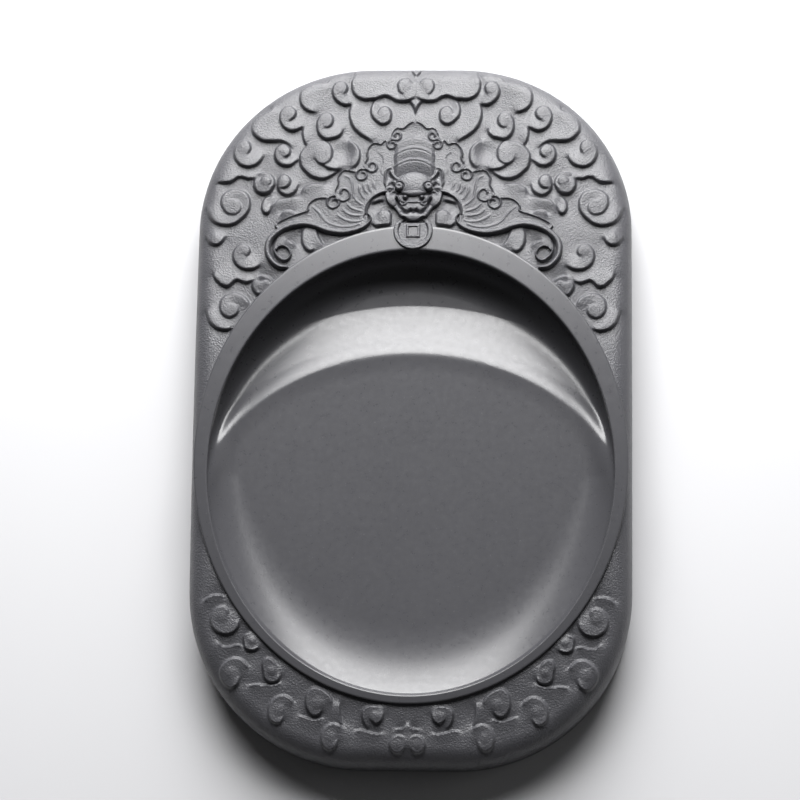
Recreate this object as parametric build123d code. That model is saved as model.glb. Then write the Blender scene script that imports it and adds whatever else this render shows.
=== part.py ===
from build123d import *
import os
from functools import cache

# Ink stone: one block of dark slate, lying on its flat underside. +Y runs up the stone to the bat,
# +X to the right, +Z out of the carved face. The origin is the centre of the underside.
# The carving is parted into the regions that stand up from the block, and each meets the block
# and its neighbours face to face.

# The block
length = 207.0
width = 127.0
corner_radius = 50.0
face_height = 24.0
face_dome_radius = 650.0
face_apex_below = 7.0
shoulder_radius = 6.0
foot_radius = 0.8

# The raised lip round the pool, an oval ring that is widest under the bat
rim_side_margin = 1.2
rim_top_margin = 51.0
rim_foot_margin = 17.5
rim_top_band = 7.5
rim_side_band = 4.1
rim_foot_band = 2.5
rim_height = 1.8
rim_seat_height = 18.0

# The pool: a shallow pan for grinding, and a deeper crescent well for the ink above it
pan_floor_height = 15.5
pan_wall_radius = 9.0
well_floor_height = 10.5
well_wall_radius = 10.0
well_length = 28.0
well_slope_run = 13.0
pan_crest_side_overhang = 7.8
pan_crest_foot_overhang = 9.5

# The coin under the bat's jaw, with a square hole and no marks
coin_radius = 5.7
coin_edge_band = 1.3
coin_hole = 2.6
coin_hole_band = 0.7
coin_lip_gap = 0.6
coin_dip = 0.5
coin_height = 2.7

# The bat, head down over the coin: its length is from the coin's middle, heights are from the ground
bat_half_span = 42.0
bat_length = 34.0
cheek_half_width = 8.6
cheek_half_length = 3.8
cheek_height = 2.8
forehead_half_width = 5.2
forehead_half_length = 3.1
forehead_height = 4.6
jaw_half_width = 5.6
jaw_half_length = 4.2
muzzle_inset = 0.8
muzzle_height = 3.6
eye_radius = 1.25
eye_height = 4.2
nostril_radius = 0.9
nostril_height = 4.2
body_half_width = 6.5
body_roll_half_length = 4.6
body_height = 2.0
body_roll_step = 0.45
crest_radius = 3.4
wing_height = 1.9
finger_width = 0.8
finger_height = 2.4
arm_width = 2.6
arm_height = 2.6
tail_width = 1.2
bead_radius = 1.4
bead_height = 2.8

# The clouds, heights from the ground of the face. The scrolls grow with the stone's width.
field_margin = 2.6
lobe_radius_share = 0.107
lobe_height = 0.8
scroll_radius_share = 0.039
scroll_pitch_share = 0.035
scroll_height = 1.3
scroll_eye_radius_share = 0.027
scroll_eye_height = 1.7

half_width = width / 2
half_length = length / 2
stock = 2 * face_height
lobe_radius = lobe_radius_share * half_width
scroll_radius = scroll_radius_share * half_width
scroll_pitch = scroll_pitch_share * half_width
scroll_eye_radius = scroll_eye_radius_share * half_width


def at(x_share, y_share):
    """A place on the face, as shares of the half width and half length."""
    return (x_share * half_width, y_share * half_length)


def domed(rise):
    """The squared block with its domed face, the face raised by a rise."""
    dome = Pos(0, -face_apex_below, face_height + rise - face_dome_radius) * Rot(90, 0, 0)
    return extrude(RectangleRounded(width, length, corner_radius), stock) & dome * Sphere(face_dome_radius)


@cache
def blank(rise):
    """The uncarved stone: the domed block with its shoulder rounded over."""
    body = domed(rise)
    rounded = [edge for edge in body.edges() if edge.bounding_box().min.Z > foot_radius]
    rounded = [edge for edge in rounded if edge.bounding_box().size.Z < face_height / 2]
    return fillet(rounded, shoulder_radius + rise)


ground = blank(0)
field = RectangleRounded(width - 2 * field_margin, length - 2 * field_margin, corner_radius - field_margin)


def relief(outline, rise):
    """What stands up from the ground by a rise, inside an outline on the face."""
    return (extrude(outline, stock) & blank(rise)) - ground


# The pool and its lip
rim_half_width = half_width - rim_side_margin
rim_half_length = (length - rim_top_margin - rim_foot_margin) / 2
rim_centre_below = (rim_top_margin - rim_foot_margin) / 2
pool_half_width = rim_half_width - rim_side_band
pool_half_length = rim_half_length - (rim_top_band + rim_foot_band) / 2
pool_centre_below = rim_centre_below + (rim_top_band - rim_foot_band) / 2
rim_outline = Pos(0, -rim_centre_below) * Ellipse(rim_half_width, rim_half_length)
pool_outline = Pos(0, -pool_centre_below) * Ellipse(pool_half_width, pool_half_length)


def hollow(floor_height, wall_radius):
    """The room inside the pool's outline above a floor that curves up into the wall."""
    room = Pos(0, 0, floor_height) * extrude(pool_outline, stock)
    return fillet(room.edges().sort_by(Axis.Z)[0], wall_radius)


# The pan's crest is part of a large oval, which runs out under the lip but for its top
pan_length = 2 * pool_half_length - well_length
pan_crest_half_width = pool_half_width + pan_crest_side_overhang
pan_crest_half_length = (pan_length + pan_crest_foot_overhang) / 2
pan_crest_below = pool_centre_below + pool_half_length + pan_crest_foot_overhang - pan_crest_half_length
pan_crest = Ellipse(pan_crest_half_width, pan_crest_half_length)
slope_foot = Ellipse(pan_crest_half_width + well_slope_run, pan_crest_half_length + well_slope_run)
pan_bed = loft(
    [
        Pos(0, -pan_crest_below, pan_floor_height) * pan_crest,
        Pos(0, -pan_crest_below, well_floor_height) * slope_foot,
    ],
    ruled=True,
)
pan_room = hollow(pan_floor_height, pan_wall_radius)
well_room = hollow(well_floor_height, well_wall_radius) - pan_bed
lip_stock = Pos(0, 0, rim_seat_height) * extrude(rim_outline, stock)
stone_slab = ground - lip_stock - pan_room
stone_slab -= well_room
foot_edges = stone_slab.faces().sort_by(Axis.Z)[0].edges()
stone_slab = fillet(foot_edges, foot_radius)

# The coin hangs from the jaw and lies over the lip, almost down to the pool's edge
coin_above = pool_half_length - pool_centre_below + coin_lip_gap + coin_radius
coin_place = (0, coin_above)
coin_outline = Pos(*coin_place) * Circle(coin_radius)
coin_hole_outline = Pos(*coin_place) * Rectangle(coin_hole, coin_hole)
coin_edge = coin_outline - Pos(*coin_place) * Circle(coin_radius - coin_edge_band)
hole_border = Pos(*coin_place) * Rectangle(coin_hole + 2 * coin_hole_band, coin_hole + 2 * coin_hole_band)
coin = relief(coin_outline - coin_hole_outline, coin_height - coin_dip)
coin += relief(coin_edge + (hole_border - coin_hole_outline), coin_height)

# The lip isn't rounded over with the shoulder, and its outer wall stands clear at the stone's sides
pool_rim = (lip_stock & domed(rim_height)) - pan_room
pool_rim -= well_room
pool_rim -= extrude(coin_outline, stock) - ground

# The bat: places are shares of its half span and of its length up from the coin's middle
cheek_share = (0, 0.433)
forehead_share = (0, 0.427)
jaw_share = (0, 0.245)
eye_share = (0.094, 0.421)
nostril_share = (0.060, 0.336)
body_roll_shares = [(0, 0.811), (0, 0.707), (0, 0.598)]
crest_shares = [(0, 0.878), (-0.079, 0.872), (0.079, 0.872)]
wing_bead_shares = [(0.299, 0.586), (0.376, 0.522), (0.493, 0.333), (0.568, 0.263)]
wing_start_share = (0.154, 0.814)
wing_arc_shares = [
    ((0.298, 0.786), (0.352, 0.610)),
    ((0.513, 0.558), (0.555, 0.388)),
    ((0.691, 0.315), (0.747, 0.187)),
    ((0.535, 0.035), (0.333, 0.065)),
    ((0.310, 0.242), (0.207, 0.357)),
]
finger_shares = [
    ((0.679, 0.235), (0.523, 0.098), (0.381, 0.098)),
    ((0.523, 0.168), (0.452, 0.135), (0.381, 0.141)),
    ((0.481, 0.211), (0.423, 0.178), (0.375, 0.181)),
    ((0.464, 0.266), (0.417, 0.223), (0.369, 0.214)),
    ((0.428, 0.388), (0.405, 0.315), (0.364, 0.263)),
    ((0.389, 0.403), (0.364, 0.339), (0.333, 0.293)),
    ((0.340, 0.412), (0.324, 0.372), (0.302, 0.342)),
]
arm_path_shares = [
    (0.200, 0.336),
    (0.295, 0.272),
    (0.314, 0.153),
    (0.369, 0.038),
    (0.500, 0.010),
    (0.643, 0.047),
    (0.786, 0.071),
    (0.916, 0.022),
    (0.990, -0.084),
    (0.990, -0.215),
    (0.928, -0.297),
]
tail_path_shares = [
    (0.968, -0.267),
    (0.904, -0.291),
    (0.844, -0.230),
    (0.847, -0.157),
    (0.907, -0.121),
    (0.946, -0.163),
    (0.916, -0.206),
    (0.889, -0.188),
]
# The beads beside the crest: shares of the body's half width, and of the bat's length
body_bead_shares = [(0.821, 0.869), (1.045, 0.789)]


def on_bat(x_share, y_share):
    """A place on the bat, as shares of its half span and its length."""
    return (x_share * bat_half_span, coin_above + y_share * bat_length)


def disc(place, radius):
    """A round outline at a place."""
    return Pos(*place) * Circle(radius)


def oval(share, half_wide, half_long):
    """An oval outline at a place on the bat."""
    return Pos(*on_bat(*share)) * Ellipse(half_wide, half_long)


def pair(place):
    """The two places that mirror each other across the stone's middle line."""
    return [(side * place[0], place[1]) for side in (-1, 1)]


head_outline = oval(cheek_share, cheek_half_width, cheek_half_length)
head_outline += oval(jaw_share, jaw_half_width, jaw_half_length)
head_outline -= coin_outline
muzzle_outline = oval(jaw_share, jaw_half_width - muzzle_inset, jaw_half_length - muzzle_inset)
muzzle_outline -= Pos(*coin_place) * Circle(coin_radius + muzzle_inset)
bat_head = relief(head_outline, cheek_height) + relief(muzzle_outline, muzzle_height)
bat_head += relief(oval(forehead_share, forehead_half_width, forehead_half_length), forehead_height)
bat_head += relief(Sketch() + [disc(place, eye_radius) for place in pair(on_bat(*eye_share))], eye_height)
nostril_outlines = [disc(place, nostril_radius) for place in pair(on_bat(*nostril_share))]
bat_head += relief(Sketch() + nostril_outlines, nostril_height)

# The body is a stack of rolls that climbs from the crest to the back of the head
bead_outlines = []
for x_share, y_share in body_bead_shares:
    bead_place = (x_share * body_half_width, on_bat(0, y_share)[1])
    bead_outlines += [disc(place, bead_radius) for place in pair(bead_place)]
body_outline = Sketch() + [disc(on_bat(*share), crest_radius) for share in crest_shares] + bead_outlines
roll_outlines = [oval(share, body_half_width, body_roll_half_length) for share in body_roll_shares]
roll_outlines = [outline - head_outline for outline in roll_outlines]
body_outline += roll_outlines
body_outline -= head_outline
bat_body = relief(body_outline, body_height)
for count, outline in enumerate(roll_outlines):
    bat_body += relief(outline, body_height + (count + 1) * body_roll_step)
bat_body += relief(Sketch() + bead_outlines, bead_height)

# One wing with its fingers and beads, and the arm that curls off along the lip into a tail
arm_outline = trace(Spline(*[on_bat(*share) for share in arm_path_shares]), arm_width)
arm_outline += trace(Spline(*[on_bat(*share) for share in tail_path_shares]), tail_width)
arm_outline -= head_outline + rim_outline
bat_arm = relief(arm_outline, arm_height)

wing_lines = []
wing_place = on_bat(*wing_start_share)
for through, end in wing_arc_shares:
    wing_lines.append(ThreePointArc(wing_place, on_bat(*through), on_bat(*end)))
    wing_place = on_bat(*end)
wing_lines.append(Line(wing_place, on_bat(*wing_start_share)))
wing_beads = Sketch() + [disc(on_bat(*share), bead_radius) for share in wing_bead_shares]
wing_outline = make_face(Curve() + wing_lines) + wing_beads
wing_outline -= head_outline + body_outline + arm_outline + rim_outline
fingers = [ThreePointArc(*[on_bat(*share) for share in finger]) for finger in finger_shares]
fingers = [trace(finger, finger_width) for finger in fingers]
bat_wing = relief(wing_outline, wing_height)
bat_wing += relief((Sketch() + fingers) & wing_outline, finger_height)
bat_wing += relief(wing_beads & wing_outline, bead_height)

# The clouds: every scroll is a round lobe, a snail line on it and a raised eye. A row gives a
# scroll's place in shares, its size as a share of the plain scroll, and the turn of its tail.
cloud_shares = {
    "clouds_upper": [(0.351, 0.923, 1.0, 230), (0.587, 0.848, 1.0, 220), (0.409, 0.824, 1.0, 210)],
    "clouds_corner": [(0.798, 0.744, 1.0, 200), (0.609, 0.732, 1.0, 210), (0.425, 0.725, 1.4, 225)],
    "clouds_wing": [(0.693, 0.644, 0.95, 210), (0.602, 0.643, 1.0, 200)],
    "clouds_side": [(0.835, 0.578, 1.5, 215), (0.880, 0.483, 0.9, 250), (0.778, 0.432, 1.0, 200)],
    "clouds_lip": [(0.690, 0.336, 0.9, 210), (0.831, 0.269, 1.5, 215)],
    "clouds_lower": [
        (0.838, -0.592, 1.4, 150),
        (0.698, -0.662, 0.8, 150),
        (0.787, -0.744, 1.0, 150),
        (0.606, -0.741, 0.9, 150),
    ],
    "clouds_foot": [(0.583, -0.850, 1.0, 150), (0.409, -0.836, 1.0, 150), (0.348, -0.927, 1.0, 150)],
}
middle_cloud_shares = {
    "cloud_crown": [(0.050, 0.932, 0.9, 200), (0.150, 0.845, 1.1, 60)],
    "cloud_foot": [(0.140, -0.860, 1.0, 150), (0.047, -0.937, 0.9, 150)],
}


def snail(size_share):
    """A face bounded by one turn of a spiral line of half circles, and the short step that closes it."""
    inner = scroll_radius * size_share
    outer = inner + scroll_pitch * size_share / 2
    turn_line = CenterArc((0, 0), inner, 0, 180) + CenterArc((outer - inner, 0), outer, 180, 180)
    return make_face(turn_line + Line((inner, 0), (2 * outer - inner, 0)))


def scroll_outlines(rows):
    """The lobes, snail lines and eyes of some rows of scrolls."""
    lobes = Sketch() + [disc(at(*row[:2]), lobe_radius * row[2]) for row in rows]
    lines = Sketch()
    eyes = Sketch()
    for x_share, y_share, size_share, turn in rows:
        lines += Pos(*at(x_share, y_share)) * Rot(0, 0, turn) * mirror(snail(size_share), Plane.YZ)
        eyes += disc(at(x_share, y_share), scroll_eye_radius * size_share)
    return lobes, lines, eyes


def cloud(lobes, lines, eyes):
    """The three steps of a group of scrolls, one on the other."""
    group = relief(lobes, lobe_height) + relief(lines & lobes, scroll_height)
    return group + relief(eyes & lobes, scroll_eye_height)


def both_sides(shape):
    """A shape with its mirror image across the stone's middle line."""
    return shape + mirror(shape, Plane.YZ)


taken = head_outline + body_outline + coin_outline + rim_outline + both_sides(wing_outline + arm_outline)
parts = {
    "stone_slab": stone_slab,
    "pool_rim": pool_rim,
    "coin": coin,
    "bat_head": bat_head,
    "bat_body": bat_body,
    "bat_wing_right": bat_wing,
    "bat_wing_left": mirror(bat_wing, Plane.YZ),
    "bat_arm_right": bat_arm,
    "bat_arm_left": mirror(bat_arm, Plane.YZ),
}
for name, rows in middle_cloud_shares.items():
    lobes, lines, eyes = [both_sides(outline) for outline in scroll_outlines(rows)]
    lobes = (lobes & field) - taken
    taken += lobes
    parts[name] = cloud(lobes, lines, eyes)
for name, rows in cloud_shares.items():
    lobes, lines, eyes = scroll_outlines(rows)
    lobes = (lobes & field) - taken
    taken += lobes
    parts[name + "_right"] = cloud(lobes, lines, eyes)
    parts[name + "_left"] = mirror(parts[name + "_right"], Plane.YZ)

os.makedirs("parts", exist_ok=True)
for name, part in parts.items():
    export_step(part, f"parts/{name}.step")
    print(name, len(part.solids()), round(part.volume))
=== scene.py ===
import math

import bmesh
import bpy
import numpy as np
from mathutils import Matrix, Vector


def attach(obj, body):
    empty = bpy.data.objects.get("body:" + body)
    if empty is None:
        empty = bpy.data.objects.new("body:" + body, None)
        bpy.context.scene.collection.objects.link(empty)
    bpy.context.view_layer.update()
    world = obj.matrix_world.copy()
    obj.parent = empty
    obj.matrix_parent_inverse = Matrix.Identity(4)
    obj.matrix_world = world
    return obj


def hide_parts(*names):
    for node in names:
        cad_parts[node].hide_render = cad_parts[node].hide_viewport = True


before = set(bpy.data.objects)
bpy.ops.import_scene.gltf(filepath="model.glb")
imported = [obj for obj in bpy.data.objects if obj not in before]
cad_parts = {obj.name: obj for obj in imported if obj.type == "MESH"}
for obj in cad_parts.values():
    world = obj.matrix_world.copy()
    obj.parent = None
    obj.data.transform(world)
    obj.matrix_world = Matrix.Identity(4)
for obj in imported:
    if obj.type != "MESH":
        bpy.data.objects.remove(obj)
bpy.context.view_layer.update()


# The block. One piece of dark slate, 207 by 127 mm with round corners, sawn flat under and left plain on
# its sides. This is its lower part, up to where the carved face is drawn; the foot edge is broken by hand.
half_width, half_length, corner_radius = 63.5, 103.5, 50.0
base_height = 4.0
foot_bevel = 0.8


def linear(colour):
    """A colour written as a screen colour, in the plain light values that the shaders take."""
    shares = [int(colour[i : i + 2], 16) / 255 for i in (1, 3, 5)]
    return [c / 12.92 if c <= 0.04045 else ((c + 0.055) / 1.055) ** 2.4 for c in shares] + [1.0]


def add(tree, kind, inputs, **settings):
    """One shader node, its inputs given by name or number, as values or as the sockets that feed them."""
    made = tree.nodes.new("ShaderNode" + kind)
    for name, value in settings.items():
        setattr(made, name, value)
    for name, value in inputs.items():
        if isinstance(value, bpy.types.NodeSocket):
            tree.links.new(value, made.inputs[name])
        else:
            made.inputs[name].default_value = value
    return made


def slate(name, dark, light, roughness, grain_mm, grain_depth_mm):
    """Slate: a fine, even, dark stone, slightly cloudy in tone, with a few pale specks and a fine grain."""
    cloud_mm, speck_mm, patch_mm = 18, 0.4, 6 * grain_mm
    material = bpy.data.materials.new(name)
    material.use_nodes = True
    tree = material.node_tree
    tree.nodes.clear()
    place = add(tree, "TexCoord", {}).outputs["Object"]
    tone = add(tree, "TexNoise", {"Vector": place, "Scale": 1000 / cloud_mm, "Detail": 4.0, "Roughness": 0.6})
    tones = {"Factor": tone.outputs["Fac"], 6: linear(dark), 7: linear(light)}
    mixed = add(tree, "Mix", tones, data_type="RGBA")
    dust = add(tree, "TexNoise", {"Vector": place, "Scale": 1000 / speck_mm, "Detail": 2.0, "Roughness": 0.5})
    few = {"Value": dust.outputs["Fac"], "From Min": 0.70, "From Max": 0.78, "To Max": 0.3}
    speck = add(tree, "MapRange", few).outputs["Result"]
    tones = {"Factor": speck, 6: mixed.outputs[2], 7: linear("#8c8c90")}
    speckled = add(tree, "Mix", tones, data_type="RGBA")
    fine = {"Vector": place, "Scale": 1000 / grain_mm, "Detail": 3.0, "Roughness": 0.6}
    grain = add(tree, "TexNoise", fine).outputs["Fac"]
    patch = add(tree, "TexNoise", {"Vector": place, "Scale": 1000 / patch_mm, "Detail": 2.0})
    rubbed = {"Value": patch.outputs["Fac"], "From Min": 0.3, "From Max": 0.7}
    gloss = add(tree, "MapRange", rubbed | {"To Min": roughness - 0.03, "To Max": roughness + 0.03})
    bump = add(tree, "Bump", {"Height": grain, "Distance": grain_depth_mm / 1000, "Strength": 1.0})
    surface = {"Base Color": speckled.outputs[2], "Roughness": gloss.outputs["Result"], "IOR": 1.5}
    skin = add(tree, "BsdfPrincipled", surface | {"Normal": bump.outputs["Normal"]})
    add(tree, "OutputMaterial", {"Surface": skin.outputs["BSDF"]})
    return material


# as chisel and grit leave it: satin, with a grain drawn coarser than the real one, so that it shows
carved_slate = slate("slate", "#3f3f42", "#48484c", 0.37, 0.5, 0.24)


def finish_piece(bm, name, material, nodes):
    """Turns millimetres to metres, sets the shading, and hangs the piece in the frame."""
    bmesh.ops.recalc_face_normals(bm, faces=bm.faces)
    bmesh.ops.scale(bm, vec=(0.001, 0.001, 0.001), verts=bm.verts)
    mesh = bpy.data.meshes.new(name)
    bm.to_mesh(mesh)
    bm.free()
    mesh.shade_smooth()
    mesh.set_sharp_from_angle(angle=math.radians(60))
    mesh.materials.append(material)
    piece = bpy.data.objects.new(name, mesh)
    bpy.context.scene.collection.objects.link(piece)
    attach(piece, "root")
    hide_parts(*nodes)


bm = bmesh.new()
bmesh.ops.create_cube(bm, size=1)
bmesh.ops.scale(bm, vec=(2 * half_width, 2 * half_length, base_height), verts=bm.verts)
bmesh.ops.translate(bm, vec=(0, 0, base_height / 2), verts=bm.verts)
upright = [e for e in bm.edges if abs(e.verts[0].co.z - e.verts[1].co.z) > 1]
bevel = {"offset_type": "OFFSET", "profile": 0.5, "affect": "EDGES", "material": -1}
bmesh.ops.bevel(bm, geom=upright, offset=corner_radius, segments=96, **bevel)
foot = [e for e in bm.edges if max(v.co.z for v in e.verts) < 0.01]
bmesh.ops.bevel(bm, geom=foot, offset=foot_bevel, segments=3, **bevel)
finish_piece(bm, "block", carved_slate, ["stone_slab"])


# The carved face. Cloud scrolls cut into the block's top all round the pool, and running out over its
# rounded shoulder. Each line is a step: the stone on the left of the line's run is left high, and
# the stone on its right is cut away and slopes back up to its neighbours.
dome_radius, dome_below, face_height = 650.0, 7.0, 24.0
shoulder = 6.0


def dome(x, y):
    """The height of the plain face, a very slight dome."""
    return face_height - dome_radius + np.sqrt(dome_radius**2 - x**2 - (y + dome_below) ** 2)


def smooth_line(points, step=0.05):
    """A smooth line through some places, as evenly spaced places."""
    p = np.array(points, float)
    p = np.vstack([2 * p[0] - p[1], p, 2 * p[-1] - p[-2]])
    runs = []
    for a, b, c, d in zip(p[:-3], p[1:-2], p[2:-1], p[3:]):
        t = np.linspace(0, 1, max(2, int(np.hypot(*(c - b)) / step)), endpoint=False)[:, None]
        bend = (2 * a - 5 * b + 4 * c - d) * t**2 + (3 * b - a - 3 * c + d) * t**3
        runs.append(0.5 * (2 * b + (c - a) * t + bend))
    return np.vstack(runs + [p[-2:-1]])


class Carving:
    """A sheet of heights over the whole face, pressed up and down along lines."""

    def __init__(self, reach, cell, low, high):
        self.reach, self.cell, (self.x0, self.y0) = reach, cell, low
        self.columns, self.rows = round((high[0] - low[0]) / cell), round((high[1] - low[1]) / cell)
        self.push = np.zeros((2, self.rows, self.columns))
        self.groove = np.zeros((self.rows, self.columns))

    def splat(self, sheet, x, y, amount):
        """Shares amounts at places out over the cells round them."""
        i, j = (y - self.y0) / self.cell, (x - self.x0) / self.cell
        i0, j0 = np.floor(i).astype(int), np.floor(j).astype(int)
        for di, dj in ((0, 0), (0, 1), (1, 0), (1, 1)):
            share = (1 - abs(i - i0 - di)) * (1 - abs(j - j0 - dj))
            np.add.at(sheet, (i0 + di, j0 + dj), amount * share / self.cell**2)

    def line(self, points, rise, cut):
        """A step line, high on its left, with a fine groove along it, or a cord where the cut is below 0."""
        for mirrored in (False, True):
            run = smooth_line(points)
            if mirrored:
                run = run[::-1] * [-1, 1]
            step = np.diff(run, axis=0)
            middle = (run[1:] + run[:-1]) / 2
            length = np.hypot(step[:, 0], step[:, 1])
            gone = np.cumsum(length) - length / 2
            fade = np.clip(np.minimum(gone, gone[-1] - gone) / 0.8, 0, 1)
            self.splat(self.push[0], middle[:, 0], middle[:, 1], -step[:, 1] * rise * fade)
            self.splat(self.push[1], middle[:, 0], middle[:, 1], step[:, 0] * rise * fade)
            self.splat(self.groove, middle[:, 0], middle[:, 1], length * cut * fade)

    def settle(self):
        """The heights: the smoothest sheet that has all the steps, each a little rounded off."""
        ky = 2 * np.pi * np.fft.fftfreq(self.rows, self.cell)[:, None]
        kx = 2 * np.pi * np.fft.rfftfreq(self.columns, self.cell)[None, :]
        k2 = kx**2 + ky**2
        soft = 0.8 * np.exp(-k2 * 0.13**2 / 2) + 0.2 * np.exp(-k2 * 0.7**2 / 2)
        push_x, push_y = np.fft.rfft2(self.push[0]), np.fft.rfft2(self.push[1])
        steps = -1j * (kx * push_x + ky * push_y) / (k2 + 1 / self.reach**2) * soft
        groove_width = 0.2
        cut = np.exp(-k2 * groove_width**2 / 2) * groove_width * math.sqrt(2 * math.pi)
        grooves = np.fft.rfft2(self.groove) * cut
        self.height = np.fft.irfft2(steps - grooves, s=(self.rows, self.columns))

    def at(self, x, y):
        """The sheet's height at places on the face."""
        i, j = (y - self.y0) / self.cell, (x - self.x0) / self.cell
        i, j = np.clip(i, 0, self.rows - 2), np.clip(j, 0, self.columns - 2)
        i0, j0 = i.astype(int), j.astype(int)
        a, b = i - i0, j - j0
        h = self.height
        low = h[i0, j0] * (1 - b) + h[i0, j0 + 1] * b
        high = h[i0 + 1, j0] * (1 - b) + h[i0 + 1, j0 + 1] * b
        return low * (1 - a) + high * a


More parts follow.
